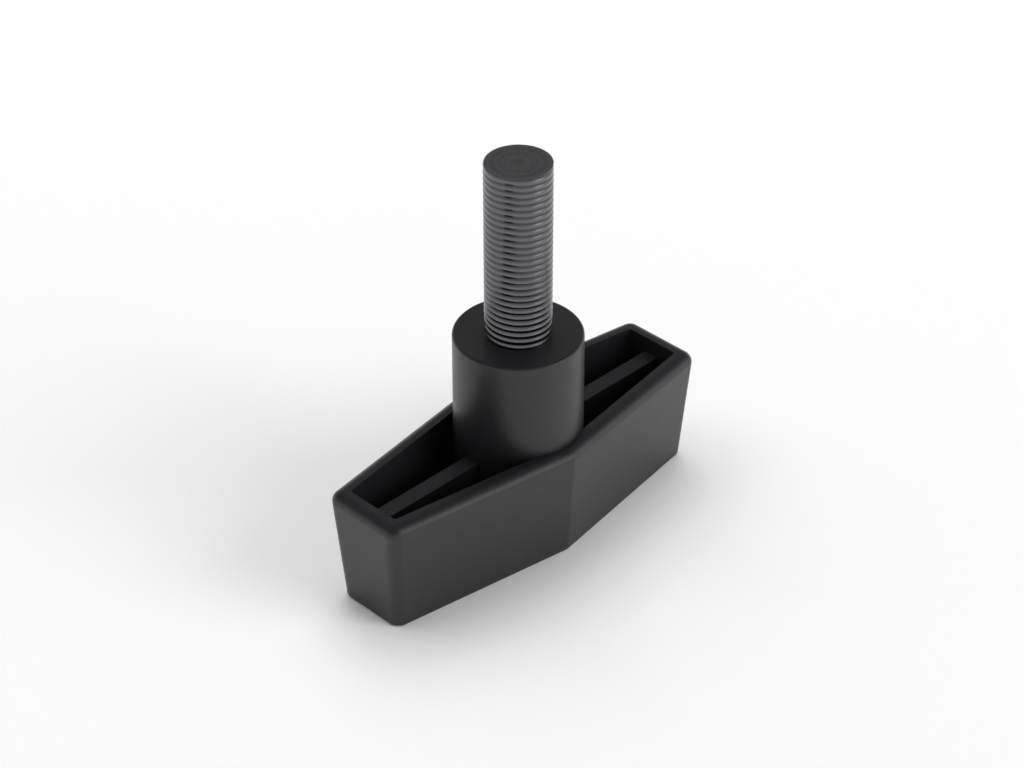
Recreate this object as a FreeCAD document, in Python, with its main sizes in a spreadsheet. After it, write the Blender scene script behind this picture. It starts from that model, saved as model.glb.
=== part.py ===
import FreeCAD, Part
import os
import Sketcher

# A drum wing screw: a moulded grip, hollow on the stud's side, round a threaded steel stud.
# The origin is the centre of the grip's closed base. +Z runs along the stud and +X along the grip.

# Millimetres and degrees. Plan sizes of the grip are taken at its open rim, to the sharp corners.
SIZES = {
    "grip_length": 64.2,
    "centre_width": 23.7,
    "end_width": 13.9,
    "grip_height": 19.0,
    "draft_angle": 4.0,
    "wall": 2.6,
    "floor_thickness": 2.6,
    "corner_round": 1.9,
    "rim_round": 1.65,
    "base_round": 0.5,
    "cavity_round": 0.5,
    "rib_thickness": 2.6,
    "rib_recess": 2.5,
    "boss_diameter": 19.4,
    "boss_rise": 15.8,
    "boss_draft": 0.25,
    "boss_round": 0.4,
    "thread_diameter": 10.0,
    "stud_length": 28.5,
    "neck_length": 3.0,
    "neck_margin": 0.2,
    "root_flats": 13.0,
    "root_length": 20.0,
    "groove_diameter": 10.5,
    "groove_width": 4.0,
}

# Places and lengths worked out from the sizes
HALF_LENGTH = "Sizes.grip_length / 2"
RIM = "Sizes.grip_height"
SIDE_ANGLE = "atan((Sizes.centre_width - Sizes.end_width) / Sizes.grip_length)"
CAVITY_HALF_LENGTH = f"({HALF_LENGTH} - Sizes.wall)"
CAVITY_CENTRE = f"(Sizes.centre_width / 2 - Sizes.wall / cos({SIDE_ANGLE}))"
CAVITY_END = f"({CAVITY_CENTRE} - {CAVITY_HALF_LENGTH} * tan({SIDE_ANGLE}))"
RIB_TOP = "(Sizes.grip_height - Sizes.rib_recess)"
MID_FLOOR = "(Sizes.floor_thickness / 2)"
BOSS_TOP = "(Sizes.grip_height + Sizes.boss_rise)"
BOSS_RADIUS = "Sizes.boss_diameter / 2"
BOSS_FOOT_RADIUS = f"({BOSS_RADIUS} + ({BOSS_TOP} - {MID_FLOOR}) * tan(Sizes.boss_draft))"
STUD_TIP = f"({BOSS_TOP} + Sizes.stud_length)"
THREAD_RADIUS = "Sizes.thread_diameter / 2"
# The neck is a little thicker than the thread, so that the mould closes on a plain round.
NECK_RADIUS = f"({THREAD_RADIUS} + Sizes.neck_margin)"
ROOT_TOP = f"({BOSS_TOP} - Sizes.neck_length)"
ROOT_FOOT = f"({ROOT_TOP} - Sizes.root_length)"
ROOT_CORNER_RADIUS = "Sizes.root_flats / 2 / cos(30)"
GROOVE_MIDDLE = f"({ROOT_TOP} - Sizes.root_length / 2)"

TOLERANCE = 1e-4
SMALLEST_CUT = 1.0
PARTS_FOLDER = "parts"


def add_sizes(doc):
    sheet = doc.addObject("Spreadsheet::Sheet", "Sizes")
    for row, (name, value) in enumerate(SIZES.items(), start=1):
        sheet.set(f"A{row}", name)
        sheet.set(f"B{row}", str(value))
        sheet.setAlias(f"B{row}", name)
    doc.recompute()
    return sheet


def add_body(doc, name):
    body = doc.addObject("PartDesign::Body", name)
    body.Placement = FreeCAD.Placement()
    return body


def add_sketch(body, name, role, height=None):
    """An empty sketch on one of the body's origin planes, raised to height where one is given."""
    sketch = body.newObject("Sketcher::SketchObject", name)
    plane = next(feature for feature in body.Origin.OriginFeatures if feature.Role == role)
    sketch.AttachmentSupport = (plane, [""])
    sketch.MapMode = "FlatFace"
    if height:
        sketch.setExpression("AttachmentOffset.Base.z", height)
    return sketch


def pin_point(sketch, line, axis, expression):
    """Hold the start of a line at a distance from the sketch's origin, or on its axis where that is 0."""
    if expression == "0":
        on_axis = -2 if axis == "X" else -1
        sketch.addConstraint(Sketcher.Constraint("PointOnObject", line, 1, on_axis))
        return
    distance = float(sketch.evalExpression(expression))
    index = sketch.addConstraint(Sketcher.Constraint("Distance" + axis, -1, 1, line, 1, distance))
    sketch.setExpression(f"Constraints[{index}]", expression)


def add_outline(sketch, corners):
    """A closed outline through the corners, each a pair of expressions for its place in the sketch."""
    points = [FreeCAD.Vector(*(float(sketch.evalExpression(e)) for e in corner), 0) for corner in corners]
    count = len(points)
    for i in range(count):
        sketch.addGeometry(Part.LineSegment(points[i], points[(i + 1) % count]))
    for i in range(count):
        sketch.addConstraint(Sketcher.Constraint("Coincident", i, 2, (i + 1) % count, 1))
    for i, (across, up) in enumerate(corners):
        pin_point(sketch, i, "X", across)
        pin_point(sketch, i, "Y", up)


def wing_outline(sketch, half_length, half_centre, half_end):
    """The grip's six-sided plan: widest across the middle, with straight sides to square ends."""
    add_outline(
        sketch,
        [
            (half_length, half_end),
            ("0", half_centre),
            (f"-{half_length}", half_end),
            (f"-{half_length}", f"-{half_end}"),
            ("0", f"-{half_centre}"),
            (half_length, f"-{half_end}"),
        ],
    )


def edge_names(feature, wanted):
    return [f"Edge{i}" for i, edge in enumerate(feature.Shape.Edges, start=1) if wanted(edge)]


def face_names(feature, wanted):
    return [f"Face{i}" for i, face in enumerate(feature.Shape.Faces, start=1) if wanted(face)]


def is_upright(face):
    flat = isinstance(face.Surface, Part.Plane)
    return flat and abs(face.normalAt(0, 0).z) < TOLERANCE


def is_rim(face):
    faces_up = isinstance(face.Surface, Part.Plane) and face.normalAt(0, 0).z > 1 - TOLERANCE
    return faces_up and abs(face.CenterOfMass.z - SIZES["grip_height"]) < TOLERANCE


def heights(edge):
    levels = [vertex.Z for vertex in edge.Vertexes]
    return min(levels), max(levels)


def spans(low, high):
    """A test for edges that run from one height to another."""
    return lambda edge: abs(heights(edge)[0] - low) < TOLERANCE and abs(heights(edge)[1] - high) < TOLERANCE


def add_fillet(body, name, feature, wanted, radius):
    fillet = body.newObject("PartDesign::Fillet", name)
    fillet.Base = (feature, edge_names(feature, wanted))
    fillet.setExpression("Radius", radius)
    body.Document.recompute()
    return fillet


def add_draft(body, name, feature, grows):
    """Lean the upright walls of feature by the draft angle, hinged at the rim, to add or take away plastic."""
    draft = body.newObject("PartDesign::Draft", name)
    draft.Base = (feature, face_names(feature, is_upright))
    draft.NeutralPlane = (feature, face_names(feature, is_rim)[:1])
    draft.Reversed = not grows
    draft.setExpression("Angle", "Sizes.draft_angle")
    body.Document.recompute()
    if (draft.Shape.Volume > feature.Shape.Volume) != grows:
        raise RuntimeError(f"{name} leans the wrong way")
    return draft


def check_cut(feature, before):
    if before.Shape.Volume - feature.Shape.Volume < SMALLEST_CUT:
        raise RuntimeError(f"{feature.Name} removed nothing")


def wing_block(body):
    """The grip's outside: narrower at the base than at the rim, with every outer edge rounded."""
    plan = add_sketch(body, "WingPlan", "XY_Plane", RIM)
    wing_outline(plan, HALF_LENGTH, "Sizes.centre_width / 2", "Sizes.end_width / 2")
    block = body.newObject("PartDesign::Pad", "WingBlock")
    block.Profile = plan
    block.Reversed = True
    block.setExpression("Length", RIM)
    body.Document.recompute()
    drafted = add_draft(body, "OuterDraft", block, grows=False)
    rim = SIZES["grip_height"]
    corners = add_fillet(body, "CornerRounds", drafted, spans(0, rim), "Sizes.corner_round")
    rounded_rim = add_fillet(body, "RimRound", corners, spans(rim, rim), "Sizes.rim_round")
    return add_fillet(body, "BaseRound", rounded_rim, spans(0, 0), "Sizes.base_round")


def wing_cavity(body, block):
    """The hollow on the stud's side, parallel to the outside so that its wall is even."""
    plan = add_sketch(body, "CavityPlan", "XY_Plane", RIM)
    wing_outline(plan, CAVITY_HALF_LENGTH, CAVITY_CENTRE, CAVITY_END)
    cavity = body.newObject("PartDesign::Pocket", "Cavity")
    cavity.Profile = plan
    cavity.Reversed = False
    cavity.setExpression("Length", "Sizes.grip_height - Sizes.floor_thickness")
    body.Document.recompute()
    check_cut(cavity, block)
    drafted = add_draft(body, "CavityDraft", cavity, grows=True)
    corners = spans(SIZES["floor_thickness"], SIZES["grip_height"])
    return add_fillet(body, "CavityRounds", drafted, corners, "Sizes.cavity_round")


def long_rib(body):
    """The rib along the middle, from end wall to end wall, a little below the rim."""
    profile = add_sketch(body, "RibProfile", "XZ_Plane")
    slope = "tan(Sizes.draft_angle)"
    reach_top = f"({HALF_LENGTH} - Sizes.wall / 2 - Sizes.rib_recess * {slope})"
    reach_foot = f"({HALF_LENGTH} - Sizes.wall / 2 - ({RIM} - {MID_FLOOR}) * {slope})"
    add_outline(
        profile,
        [
            (reach_top, RIB_TOP),
            (f"-{reach_top}", RIB_TOP),
            (f"-{reach_foot}", MID_FLOOR),
            (reach_foot, MID_FLOOR),
        ],
    )
    rib = body.newObject("PartDesign::Pad", "LongRib")
    rib.Profile = profile
    rib.SideType = "Symmetric"
    rib.setExpression("Length", "Sizes.rib_thickness")
    body.Document.recompute()
    return rib


def round_boss(body):
    """The boss in the middle, from the floor to the face that clamps."""
    profile = add_sketch(body, "BossProfile", "XZ_Plane")
    add_outline(
        profile,
        [
            ("0", MID_FLOOR),
            (BOSS_FOOT_RADIUS, MID_FLOOR),
            (BOSS_RADIUS, BOSS_TOP),
            ("0", BOSS_TOP),
        ],
    )
    boss = body.newObject("PartDesign::Revolution", "Boss")
    boss.Profile = profile
    boss.ReferenceAxis = (profile, ["V_Axis"])
    body.Document.recompute()
    top = SIZES["grip_height"] + SIZES["boss_rise"]
    return add_fillet(body, "BossRound", boss, spans(top, top), "Sizes.boss_round")


def grip_moulding(doc):
    body = add_body(doc, "grip_moulding")
    block = wing_block(body)
    wing_cavity(body, block)
    long_rib(body)
    body.Tip = round_boss(body)
    return body


def threaded_stud(doc):
    """The steel stud: a six-sided root that can't turn in the plastic, a plain neck and the threaded length.

    The threaded length is a plain round of the thread's outer diameter.
    """
    body = add_body(doc, "threaded_stud")
    shank_profile = add_sketch(body, "ShankProfile", "XZ_Plane")
    add_outline(
        shank_profile,
        [
            ("0", GROOVE_MIDDLE),
            (NECK_RADIUS, GROOVE_MIDDLE),
            (NECK_RADIUS, BOSS_TOP),
            (THREAD_RADIUS, BOSS_TOP),
            (THREAD_RADIUS, STUD_TIP),
            ("0", STUD_TIP),
        ],
    )
    shank = body.newObject("PartDesign::Revolution", "Shank")
    shank.Profile = shank_profile
    shank.ReferenceAxis = (shank_profile, ["V_Axis"])
    doc.recompute()

    root_plan = add_sketch(body, "RootPlan", "XY_Plane", ROOT_FOOT)
    turns = [f"{60 * corner}" for corner in range(6)]
    add_outline(
        root_plan,
        [(f"{ROOT_CORNER_RADIUS} * cos({turn})", f"{ROOT_CORNER_RADIUS} * sin({turn})") for turn in turns],
    )
    root = body.newObject("PartDesign::Pad", "Root")
    root.Profile = root_plan
    root.setExpression("Length", "Sizes.root_length")
    doc.recompute()

    groove_profile = add_sketch(body, "GrooveProfile", "XZ_Plane")
    groove_low = f"({GROOVE_MIDDLE} - Sizes.groove_width / 2)"
    groove_high = f"({GROOVE_MIDDLE} + Sizes.groove_width / 2)"
    beyond_corners = "Sizes.root_flats"
    add_outline(
        groove_profile,
        [
            ("Sizes.groove_diameter / 2", groove_low),
            (beyond_corners, groove_low),
            (beyond_corners, groove_high),
            ("Sizes.groove_diameter / 2", groove_high),
        ],
    )
    groove = body.newObject("PartDesign::Groove", "HoldingGroove")
    groove.Profile = groove_profile
    groove.ReferenceAxis = (groove_profile, ["V_Axis"])
    doc.recompute()
    check_cut(groove, root)
    body.Tip = groove
    return body


def moulded_round(doc, name, moulding, stud):
    """The plastic fills every hollow round the stud's root, so the stud's own shape leaves its seat."""
    seated = doc.addObject("Part::Cut", name)
    seated.Base = moulding
    seated.Tool = stud
    doc.recompute()
    check_cut(seated, moulding)
    return seated


def check_model(doc, subparts):
    for item in doc.Objects:
        if "Invalid" in item.State or "Error" in item.State:
            raise RuntimeError(f"{item.Name} failed: {item.State}")
    for subpart in subparts:
        shape = subpart.Shape
        if shape.isNull() or not shape.isValid() or len(shape.Solids) != 1:
            raise RuntimeError(f"{subpart.Label} is not one valid solid")


def main():
    doc = FreeCAD.newDocument("wing_screw")
    add_sizes(doc)
    stud = threaded_stud(doc)
    grip = moulded_round(doc, "grip", grip_moulding(doc), stud)
    doc.recompute()
    subparts = [grip, stud]
    check_model(doc, subparts)
    os.makedirs(PARTS_FOLDER, exist_ok=True)
    for subpart in subparts:
        subpart.Shape.exportStep(os.path.join(PARTS_FOLDER, subpart.Label + ".step"))
        print(subpart.Label, round(subpart.Shape.Volume, 1), subpart.Shape.BoundBox)


main()
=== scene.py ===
import math

import bmesh
import bpy
from mathutils import Matrix, Vector


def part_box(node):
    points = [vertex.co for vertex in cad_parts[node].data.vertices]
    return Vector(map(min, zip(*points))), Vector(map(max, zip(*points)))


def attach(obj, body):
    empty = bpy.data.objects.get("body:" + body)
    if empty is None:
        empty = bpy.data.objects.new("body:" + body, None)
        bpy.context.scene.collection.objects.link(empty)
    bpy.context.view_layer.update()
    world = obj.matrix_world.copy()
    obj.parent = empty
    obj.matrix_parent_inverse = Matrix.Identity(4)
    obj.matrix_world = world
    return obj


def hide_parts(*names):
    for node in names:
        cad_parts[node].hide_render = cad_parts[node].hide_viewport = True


# A drum wing screw: a black moulded grip round a dark steel stud with a fine left-hand thread.
# Metres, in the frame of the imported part: the grip stands on its closed base and the stud points up.

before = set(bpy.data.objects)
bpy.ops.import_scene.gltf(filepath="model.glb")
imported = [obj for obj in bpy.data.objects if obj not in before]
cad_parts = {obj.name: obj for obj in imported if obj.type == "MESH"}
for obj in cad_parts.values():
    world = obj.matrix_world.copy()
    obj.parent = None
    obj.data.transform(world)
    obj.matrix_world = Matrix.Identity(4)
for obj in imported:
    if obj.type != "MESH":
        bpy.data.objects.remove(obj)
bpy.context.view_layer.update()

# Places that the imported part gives
BOSS_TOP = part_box("grip")[1].z
STUD_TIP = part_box("threaded_stud")[1].z
ROOT_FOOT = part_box("threaded_stud")[0].z
ROOT_CORNER_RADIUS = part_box("threaded_stud")[1].x

# Thread. A sharpness of 1 would make its crests and grooves knife-edged. A hand of -1 is left-hand.
CREST_RADIUS = 0.005
GROOVE_DEPTH = 0.00015
FLANK_SHARPNESS = 0.96
TURNS = 28
SPARE_TURNS = 2
PITCH = (STUD_TIP - BOSS_TOP) / TURNS
THREAD_HAND = -1
STEPS_PER_TURN = 96
STEPS_PER_RIDGE = 12
MERGE = 2e-7

# Where the photograph shows the lowest crest: in pitches above the boss, on the camera's side
FIRST_CREST = 0.41
CREST_FACING = math.radians(-135.08)

# Tip of the stud
CENTRE_HOLE_RADIUS = 0.00025
CENTRE_HOLE_DEPTH = 0.00004
CENTRE_HOLE_TAPER = 0.3

# The part of the stud that sits in the plastic
NECK_RADIUS = 0.0052
NECK_TOP = BOSS_TOP - 0.00002
ROOT_TOP = BOSS_TOP - 0.003
ROOT_SIDES = 6
GROOVE_RADIUS = 0.00525
GROOVE_WIDTH = 0.004
GROOVE_SIDES = 48

# Faces whose normal is nearer the stud's axis than this are shaded flat
FLAT_FACE = 0.95

# Places of two finishes in the stud's list of materials, whose first is the thread's
TIP_FINISH = 1
PLASTIC_SKIN = 2

# Plastic. Each pair holds the values at the two ends of the noise that drives it.
PLASTIC_COLOURS = ((0.0095, 0.0095, 0.0115), (0.0135, 0.0135, 0.016))
PLASTIC_ROUGHNESS = (0.36, 0.4)
PLASTIC_GLOSS = (0.53, 0.49)
STREAK_STRETCH = (1, 1, 28)
STREAK_SCALE = 160
STREAK_DETAIL = 3
GRAIN_SCALE = 5200
GRAIN_DETAIL = 2
GRAIN_BUMP = 0.25
GRAIN_HEIGHT = 0.00002

# Steel. The groove colour is painted shade that darkens the grooves; the crest colour is the steel's own.
# The share is the top part of each ridge, which holds none of the painted shade.
GROOVE_SHADE_COLOUR = (0.065, 0.065, 0.07)
CREST_COLOUR = (0.14, 0.14, 0.15)
UNSHADED_SHARE = 0.2
THREAD_ROUGHNESS = (0.19, 0.25)
THREAD_MARKS_SCALE = 3000
TIP_COLOURS = ((0.24, 0.24, 0.254), (0.29, 0.29, 0.306))
TIP_ROUGHNESS = (0.24, 0.34)
TIP_MARKS_SCALE = 2600
MARKS_DETAIL = 2
MARKS_BUMP = 0.1
MARKS_HEIGHT = 0.00001

# Most of a noise texture lies between these two values
NOISE_LOW = 0.3
NOISE_HIGH = 0.7

# Sockets of a mix node that mixes colours
FIRST_COLOUR = 6
SECOND_COLOUR = 7
MIXED_COLOUR = 2

# Camera, from the photograph's perspective
TARGET = Vector((0, 0, 0.0225))
CAMERA_AZIMUTH = math.radians(-45.08)
CAMERA_ELEVATION = math.radians(35.49)
CAMERA_DISTANCE = 0.40305
FOCAL_LENGTH_MM = 95.514
SENSOR_MM = 36
SHIFT_X = -0.00611
SHIFT_Y = 0.01598
CLIP_START = 0.01
CLIP_END = 20

# Soft lamps, each with its azimuth from +X, elevation and brightness, where 1 is a white floor's
SOFTBOX_WIDTH = 1.3
SOFTBOX_DISTANCE = 2
SOFTBOXES = [
    ("key", 292.5, 30, 3.2),
    ("right", 0, 52, 0.55),
    ("right_back", 45, 52, 1.7),
    ("back", 90, 52, 1),
    ("left_back", 135, 52, 1.55),
    ("overhead", 45, 74, 1.9),
]

# Floor: its colour as light spreads from it, and as the camera, gloss and glass see it
FLOOR_HALF_WIDTH = 0.9
FLOOR_COLOUR = (0.93, 0.93, 0.93)
BACKGROUND_COLOUR = (1, 1, 1)

# World: white up to the horizon's top, dim from the ceiling's foot, and a glow like a wide low window
HORIZON_TOP = math.sin(math.radians(8))
CEILING_FOOT = math.sin(math.radians(24))
CEILING_LEVEL = 0.15
WINDOW_AZIMUTH = 297
WINDOW_ELEVATION = 9
WINDOW_LEVEL = 2.6
WINDOW_TIGHTNESS = 8


# Thread and stud

def below_crest(share):
    """How far the outline is below the crest at a share of the pitch: straight flanks, rounded ends."""
    least = math.acos(FLANK_SHARPNESS)
    height = math.acos(FLANK_SHARPNESS * math.cos(2 * math.pi * share))
    return GROOVE_DEPTH * (1 - (height - least) / (math.pi - 2 * least))


def ridge_outline(bm):
    """One pitch of the thread's outline, from groove to groove over the crest."""
    points = []
    for step in range(STEPS_PER_RIDGE + 1):
        share = step / STEPS_PER_RIDGE
        points.append(bm.verts.new((CREST_RADIUS - below_crest(share), 0, (share - 0.5) * PITCH)))
    for low, high in zip(points, points[1:]):
        bm.edges.new((low, high))


def rolled_thread(bm):
    """The outline swept round once as it climbs a pitch, then stacked past both ends of the stud."""
    ridge_outline(bm)
    bmesh.ops.spin(
        bm,
        geom=bm.verts[:] + bm.edges[:],
        cent=(0, 0, 0),
        axis=(0, 0, 1),
        dvec=(0, 0, PITCH / STEPS_PER_TURN),
        angle=THREAD_HAND * 2 * math.pi,
        steps=STEPS_PER_TURN,
        use_merge=False,
        use_duplicate=False,
    )
    first_turn = bm.verts[:] + bm.edges[:] + bm.faces[:]
    for turn in range(1, TURNS + 2 * SPARE_TURNS):
        copy = bmesh.ops.duplicate(bm, geom=first_turn)["geom"]
        bmesh.ops.translate(bm, verts=only(copy, bmesh.types.BMVert), vec=(0, 0, turn * PITCH))
    bmesh.ops.remove_doubles(bm, verts=bm.verts[:], dist=MERGE)
    turned = Matrix.Rotation(CREST_FACING, 3, "Z")
    bmesh.ops.rotate(bm, verts=bm.verts[:], cent=(0, 0, 0), matrix=turned)
    start = BOSS_TOP + (FIRST_CREST - SPARE_TURNS) * PITCH
    bmesh.ops.translate(bm, verts=bm.verts[:], vec=(0, 0, start))


def only(geometry, kind):
    return [item for item in geometry if isinstance(item, kind)]


def cut_square(bm, height, outer):
    """Cut the thread off level at a height, above it or below it, and return the open rim's edges."""
    cut = bmesh.ops.bisect_plane(
        bm,
        geom=bm.verts[:] + bm.edges[:] + bm.faces[:],
        dist=MERGE,
        plane_co=(0, 0, height),
        plane_no=(0, 0, 1),
        clear_outer=outer,
        clear_inner=not outer,
    )
    return only(cut["geom_cut"], bmesh.types.BMEdge)


def turned_tip(bm):
    """The faced end of the stud, with the small centre hole that the lathe leaves."""
    rim = cut_square(bm, STUD_TIP, True)
    face = bmesh.ops.contextual_create(bm, geom=rim)["faces"]
    face[0].material_index = TIP_FINISH
    bmesh.ops.inset_region(bm, faces=face, thickness=CREST_RADIUS - CENTRE_HOLE_RADIUS)
    hole = bmesh.ops.extrude_face_region(bm, geom=face)["geom"]
    bmesh.ops.delete(bm, geom=face, context="FACES_KEEP_BOUNDARY")
    bottom = only(hole, bmesh.types.BMVert)
    bmesh.ops.translate(bm, verts=bottom, vec=(0, 0, -CENTRE_HOLE_DEPTH))
    bmesh.ops.scale(bm, verts=bottom, vec=(CENTRE_HOLE_TAPER, CENTRE_HOLE_TAPER, 1))


def plain_neck(bm):
    """The round neck that the plastic closes on, down to the root. A skin of plastic covers its shoulder."""
    rim = cut_square(bm, NECK_TOP, False)
    shoulder = bmesh.ops.extrude_edge_only(bm, edges=rim)["geom"]
    for face in only(shoulder, bmesh.types.BMFace):
        face.material_index = PLASTIC_SKIN
    for vert in only(shoulder, bmesh.types.BMVert):
        vert.co.xy *= NECK_RADIUS / vert.co.xy.length
    foot = bmesh.ops.extrude_edge_only(bm, edges=only(shoulder, bmesh.types.BMEdge))["geom"]
    for vert in only(foot, bmesh.types.BMVert):
        vert.co.z = ROOT_TOP
    bmesh.ops.contextual_create(bm, geom=only(foot, bmesh.types.BMEdge))


def closed_bar(bm, sides, radius, low, high):
    """A bar along the stud's axis between two heights, with its first corner towards +X."""
    bar = bmesh.ops.create_cone(
        bm,
        cap_ends=True,
        segments=sides,
        radius1=radius,
        radius2=radius,
        depth=high - low,
    )["verts"]
    to_x = Matrix.Rotation(math.radians(-90), 3, "Z")
    bmesh.ops.rotate(bm, verts=bar, cent=(0, 0, 0), matrix=to_x)
    bmesh.ops.translate(bm, verts=bar, vec=(0, 0, (low + high) / 2))


def steel_stud(materials):
    """The whole stud: thread, tip and neck in one surface, and under them the root with its groove."""
    bm = bmesh.new()
    rolled_thread(bm)
    turned_tip(bm)
    plain_neck(bm)
    groove_low = (ROOT_FOOT + ROOT_TOP - GROOVE_WIDTH) / 2
    groove_high = groove_low + GROOVE_WIDTH
    closed_bar(bm, ROOT_SIDES, ROOT_CORNER_RADIUS, ROOT_FOOT, groove_low)
    closed_bar(bm, GROOVE_SIDES, GROOVE_RADIUS, groove_low, groove_high)
    closed_bar(bm, ROOT_SIDES, ROOT_CORNER_RADIUS, groove_high, ROOT_TOP)
    bmesh.ops.recalc_face_normals(bm, faces=bm.faces[:])
    for face in bm.faces:
        face.smooth = abs(face.normal.z) < FLAT_FACE and face.calc_center_median().z > NECK_TOP
    return finish_piece(bm, "steel_stud", materials)


def finish_piece(bm, name, materials):
    """An object from the mesh, with its materials, fixed to the one body."""
    mesh = bpy.data.meshes.new(name)
    bm.to_mesh(mesh)
    bm.free()
    for material in materials:
        mesh.materials.append(material)
    piece = bpy.data.objects.new(name, mesh)
    bpy.context.scene.collection.objects.link(piece)
    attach(piece, "root")
    return piece


# Finishes

def new_material(name):
    material = bpy.data.materials.new(name)
    material.use_nodes = True
    tree = material.node_tree
    return material, tree.nodes, tree.links, tree.nodes["Principled BSDF"]


def stretched_noise(nodes, links, stretch, scale, detail):
    """Noise on the piece's own coordinates, stretched along some of its axes."""
    coordinates = nodes.new("ShaderNodeTexCoord")
    mapping = nodes.new("ShaderNodeMapping")
    mapping.inputs["Scale"].default_value = stretch
    noise = nodes.new("ShaderNodeTexNoise")
    noise.inputs["Scale"].default_value = scale
    noise.inputs["Detail"].default_value = detail
    links.new(coordinates.outputs["Object"], mapping.inputs["Vector"])
    links.new(mapping.outputs["Vector"], noise.inputs["Vector"])
    return noise.outputs["Fac"]


def value_between(nodes, links, source, low, high):
    """A value that goes from low to high as the noise does."""
    spread = nodes.new("ShaderNodeMapRange")
    spread.inputs["From Min"].default_value = NOISE_LOW
    spread.inputs["From Max"].default_value = NOISE_HIGH
    spread.inputs["To Min"].default_value = low
    spread.inputs["To Max"].default_value = high
    links.new(source, spread.inputs["Value"])
    return spread.outputs["Result"]


def colour_between(nodes, links, source, low, high):
    """A colour that goes from low to high as the source goes from 0 to 1."""
    mix = nodes.new("ShaderNodeMix")
    mix.data_type = "RGBA"
    mix.inputs[FIRST_COLOUR].default_value = (*low, 1)
    mix.inputs[SECOND_COLOUR].default_value = (*high, 1)
    links.new(source, mix.inputs["Factor"])
    return mix.outputs[MIXED_COLOUR]


def moulded_plastic():
    """Matt black moulding: fine grain, and faint flow streaks that lie level round the walls."""
    material, nodes, links, shader = new_material("moulded_black_plastic")
    streaks = stretched_noise(nodes, links, STREAK_STRETCH, STREAK_SCALE, STREAK_DETAIL)
    grain = stretched_noise(nodes, links, (1, 1, 1), GRAIN_SCALE, GRAIN_DETAIL)
    links.new(colour_between(nodes, links, streaks, *PLASTIC_COLOURS), shader.inputs["Base Color"])
    links.new(value_between(nodes, links, streaks, *PLASTIC_ROUGHNESS), shader.inputs["Roughness"])
    links.new(value_between(nodes, links, streaks, *PLASTIC_GLOSS), shader.inputs["Specular IOR Level"])
    add_bump(nodes, links, shader, grain, GRAIN_BUMP, GRAIN_HEIGHT)
    return material


def add_bump(nodes, links, shader, height, strength, distance):
    bump = nodes.new("ShaderNodeBump")
    bump.inputs["Strength"].default_value = strength
    bump.inputs["Distance"].default_value = distance
    links.new(height, bump.inputs["Height"])
    links.new(bump.outputs["Normal"], shader.inputs["Normal"])


def axis_distance(nodes, links):
    """The distance from the stud's axis, and the height along it."""
    coordinates = nodes.new("ShaderNodeTexCoord")
    axes = nodes.new("ShaderNodeSeparateXYZ")
    flat = nodes.new("ShaderNodeCombineXYZ")
    length = nodes.new("ShaderNodeVectorMath")
    length.operation = "LENGTH"
    links.new(coordinates.outputs["Object"], axes.inputs["Vector"])
    links.new(axes.outputs["X"], flat.inputs["X"])
    links.new(axes.outputs["Y"], flat.inputs["Y"])
    links.new(flat.outputs["Vector"], length.inputs[0])
    return length.outputs["Value"], axes.outputs["Z"]


def turning_marks(nodes, links, distance, height, scale):
    """Noise that only changes outwards and along, so that it makes fine rings round the axis."""
    place = nodes.new("ShaderNodeCombineXYZ")
    noise = nodes.new("ShaderNodeTexNoise")
    noise.inputs["Scale"].default_value = scale
    noise.inputs["Detail"].default_value = MARKS_DETAIL
    links.new(distance, place.inputs["X"])
    links.new(height, place.inputs["Y"])
    links.new(place.outputs["Vector"], noise.inputs["Vector"])
    return noise.outputs["Fac"]


def rolled_steel():
    """Dark oiled steel of the thread, with painted shade that darkens its grooves from the crests down."""
    material, nodes, links, shader = new_material("rolled_dark_steel")
    distance, height = axis_distance(nodes, links)
    # Painted shade: the colour goes darker from the top share of each ridge down to the bottom of the groove
    groove_shade = nodes.new("ShaderNodeMapRange")
    groove_shade.interpolation_type = "SMOOTHSTEP"
    groove_shade.inputs["From Min"].default_value = CREST_RADIUS - GROOVE_DEPTH
    groove_shade.inputs["From Max"].default_value = CREST_RADIUS - GROOVE_DEPTH * UNSHADED_SHARE
    links.new(distance, groove_shade.inputs["Value"])
    colour = colour_between(nodes, links, groove_shade.outputs["Result"], GROOVE_SHADE_COLOUR, CREST_COLOUR)
    links.new(colour, shader.inputs["Base Color"])
    marks = turning_marks(nodes, links, distance, height, THREAD_MARKS_SCALE)
    links.new(value_between(nodes, links, marks, *THREAD_ROUGHNESS), shader.inputs["Roughness"])
    add_bump(nodes, links, shader, marks, MARKS_BUMP, MARKS_HEIGHT)
    shader.inputs["Metallic"].default_value = 1
    return material


def faced_steel():
    """The turned tip of the stud, with fine rings round its centre."""
    material, nodes, links, shader = new_material("faced_dark_steel")
    distance, height = axis_distance(nodes, links)
    marks = turning_marks(nodes, links, distance, height, TIP_MARKS_SCALE)
    links.new(colour_between(nodes, links, marks, *TIP_COLOURS), shader.inputs["Base Color"])
    links.new(value_between(nodes, links, marks, *TIP_ROUGHNESS), shader.inputs["Roughness"])
    add_bump(nodes, links, shader, marks, MARKS_BUMP, MARKS_HEIGHT)
    shader.inputs["Metallic"].default_value = 1
    return material


# Floor, light and camera

def seen_directly(nodes, links):
    """One for what the camera sees, straight or in gloss or glass, and nothing for light that spreads."""
    path = nodes.new("ShaderNodeLightPath")
    seen = path.outputs["Is Camera Ray"]
    for ray in ("Is Glossy Ray", "Is Transmission Ray"):
        either = nodes.new("ShaderNodeMath")
        either.operation = "MAXIMUM"
        links.new(seen, either.inputs[0])
        links.new(path.outputs[ray], either.inputs[1])
        seen = either.outputs["Value"]
    return seen


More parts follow.
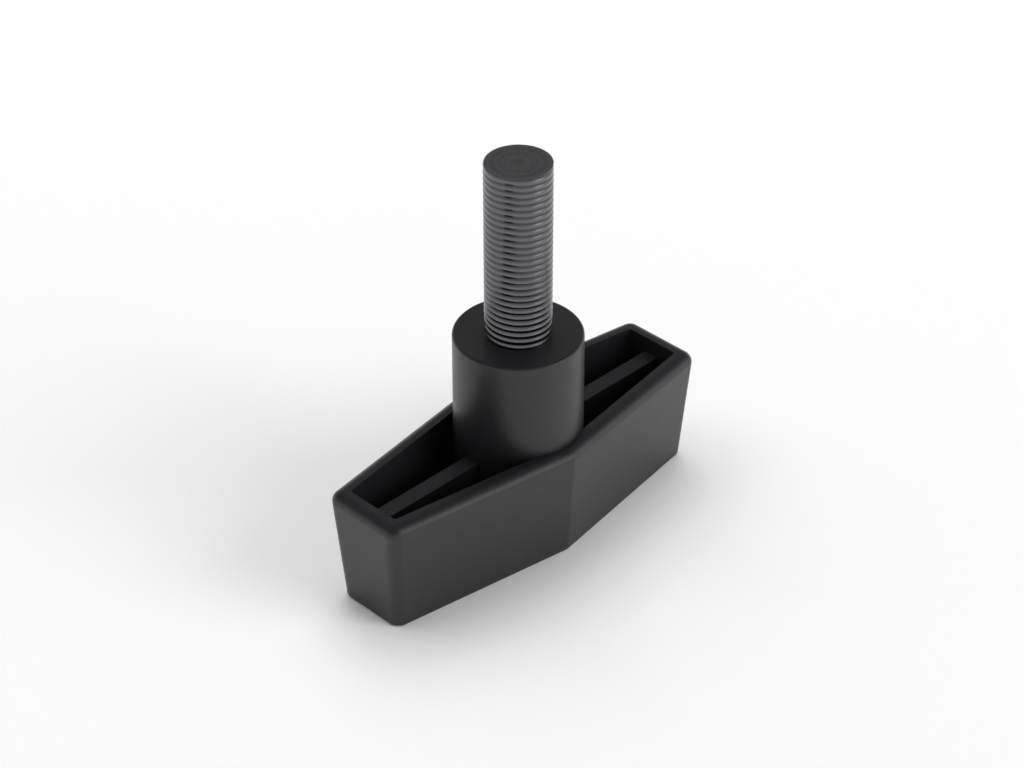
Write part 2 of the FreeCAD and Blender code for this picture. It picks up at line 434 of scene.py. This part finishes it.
def pale_floor():
    """A plain floor that looks white, and that spreads a little less light than white would."""
    bm = bmesh.new()
    bmesh.ops.create_grid(bm, x_segments=1, y_segments=1, size=FLOOR_HALF_WIDTH)
    mesh = bpy.data.meshes.new("floor")
    bm.to_mesh(mesh)
    bm.free()
    material, nodes, links, shader = new_material("pale_floor")
    seen = seen_directly(nodes, links)
    colour = colour_between(nodes, links, seen, FLOOR_COLOUR, BACKGROUND_COLOUR)
    links.new(colour, shader.inputs["Base Color"])
    shader.inputs["Roughness"].default_value = 1
    shader.inputs["Specular IOR Level"].default_value = 0
    mesh.materials.append(material)
    floor = bpy.data.objects.new("floor", mesh)
    bpy.context.scene.collection.objects.link(floor)


def calculated(nodes, links, operation, value, number):
    """A sum, product or the like of a value and a number."""
    step = nodes.new("ShaderNodeMath")
    step.operation = operation
    step.inputs[1].default_value = number
    links.new(value, step.inputs[0])
    return step.outputs["Value"]


def studio_world():
    """A pale band at the horizon that fades to a dim ceiling, and a wide soft glow on one side."""
    world = bpy.data.worlds.new("studio")
    world.use_nodes = True
    bpy.context.scene.world = world
    nodes, links = world.node_tree.nodes, world.node_tree.links
    direction = nodes.new("ShaderNodeTexCoord")
    axes = nodes.new("ShaderNodeSeparateXYZ")
    fade = nodes.new("ShaderNodeMapRange")
    fade.interpolation_type = "SMOOTHSTEP"
    fade.inputs["From Min"].default_value = HORIZON_TOP
    fade.inputs["From Max"].default_value = CEILING_FOOT
    fade.inputs["To Min"].default_value = 1
    fade.inputs["To Max"].default_value = CEILING_LEVEL
    links.new(direction.outputs["Generated"], axes.inputs["Vector"])
    links.new(axes.outputs["Z"], fade.inputs["Value"])
    facing = nodes.new("ShaderNodeVectorMath")
    facing.operation = "DOT_PRODUCT"
    facing.inputs[1].default_value = on_sphere(WINDOW_AZIMUTH, WINDOW_ELEVATION, 1)
    links.new(direction.outputs["Generated"], facing.inputs[0])
    glow = calculated(nodes, links, "MAXIMUM", facing.outputs["Value"], 0)
    glow = calculated(nodes, links, "POWER", glow, WINDOW_TIGHTNESS)
    glow = calculated(nodes, links, "MULTIPLY", glow, WINDOW_LEVEL)
    both = nodes.new("ShaderNodeMath")
    both.operation = "MAXIMUM"
    links.new(fade.outputs["Result"], both.inputs[0])
    links.new(glow, both.inputs[1])
    links.new(both.outputs["Value"], nodes["Background"].inputs["Strength"])
    nodes["Background"].inputs["Color"].default_value = (1, 1, 1, 1)


def aim(thing, place, target):
    thing.location = place
    thing.rotation_euler = (Vector(target) - Vector(place)).to_track_quat("-Z", "Y").to_euler()


def on_sphere(azimuth, elevation, distance):
    """A place at a distance from the origin, with azimuth and elevation in degrees."""
    azimuth, elevation = math.radians(azimuth), math.radians(elevation)
    level = math.cos(elevation)
    return Vector((math.cos(azimuth) * level, math.sin(azimuth) * level, math.sin(elevation))) * distance


def softbox(name, azimuth, elevation, brightness):
    """A round soft lamp that faces the origin, whose power is its brightness times pi times its area."""
    light = bpy.data.lights.new(name, "AREA")
    light.shape = "DISK"
    light.size = SOFTBOX_WIDTH
    area = math.pi * SOFTBOX_WIDTH ** 2 / 4
    light.energy = brightness * math.pi * area
    box = bpy.data.objects.new(name, light)
    box.visible_camera = False
    box.visible_glossy = False
    bpy.context.scene.collection.objects.link(box)
    aim(box, on_sphere(azimuth, elevation, SOFTBOX_DISTANCE), (0, 0, 0))


def photo_camera():
    data = bpy.data.cameras.new("camera")
    data.sensor_width = SENSOR_MM
    data.lens = FOCAL_LENGTH_MM
    data.shift_x = SHIFT_X
    data.shift_y = SHIFT_Y
    data.clip_start = CLIP_START
    data.clip_end = CLIP_END
    camera = bpy.data.objects.new("camera", data)
    bpy.context.scene.collection.objects.link(camera)
    level = math.cos(CAMERA_ELEVATION)
    away = Vector((
        math.sin(CAMERA_AZIMUTH) * level,
        -math.cos(CAMERA_AZIMUTH) * level,
        math.sin(CAMERA_ELEVATION),
    ))
    aim(camera, TARGET + away * CAMERA_DISTANCE, TARGET)
    bpy.context.scene.camera = camera


plastic = moulded_plastic()
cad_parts["grip"].data.materials[0] = plastic
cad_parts["grip"].material_slots[0].material = plastic

stud = steel_stud([rolled_steel(), faced_steel(), plastic])
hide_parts("threaded_stud")

pale_floor()
studio_world()
for name, azimuth, elevation, brightness in SOFTBOXES:
    softbox(name, azimuth, elevation, brightness)
photo_camera()

bpy.context.scene.view_settings.view_transform = "Standard"
